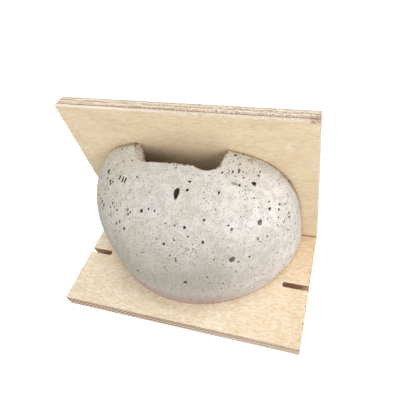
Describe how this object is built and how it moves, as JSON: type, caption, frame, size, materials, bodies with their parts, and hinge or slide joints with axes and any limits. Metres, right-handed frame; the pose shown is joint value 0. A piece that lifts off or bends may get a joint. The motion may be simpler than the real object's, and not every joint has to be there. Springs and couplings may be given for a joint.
{
  "type": "house martin nest cup",
  "caption": "Half cup of cast concrete with an entrance notch, held in the corner of two plywood boards, for house martins to nest in under an eave.",
  "frame": {"origin": "under the middle of the part, on the surface it lies on: the wall side of the wall board", "axes": "+Z away from the wall, +Y up to the eave in use, X across the boards"},
  "size_m": [0.21, 0.114, 0.148],
  "materials": {
    "concrete": "matt cast concrete with small air bubbles",
    "wall_plywood": "sanded birch plywood, bare, with brown burnt cut edges",
    "roof_plywood": "sanded birch plywood, bare",
    "adhesive": "matt brown cured adhesive",
    "screw_steel": "zinc plated steel"
  },
  "bodies": {
    "root": {"nest_cup": "concrete", "wall_board": "wall_plywood", "roof_board": "roof_plywood", "wall_adhesive": "adhesive", "roof_adhesive": "adhesive", "joint_screw_1": "screw_steel", "joint_screw_2": "screw_steel", "joint_screw_3": "screw_steel"}
  },
  "joints": []
}
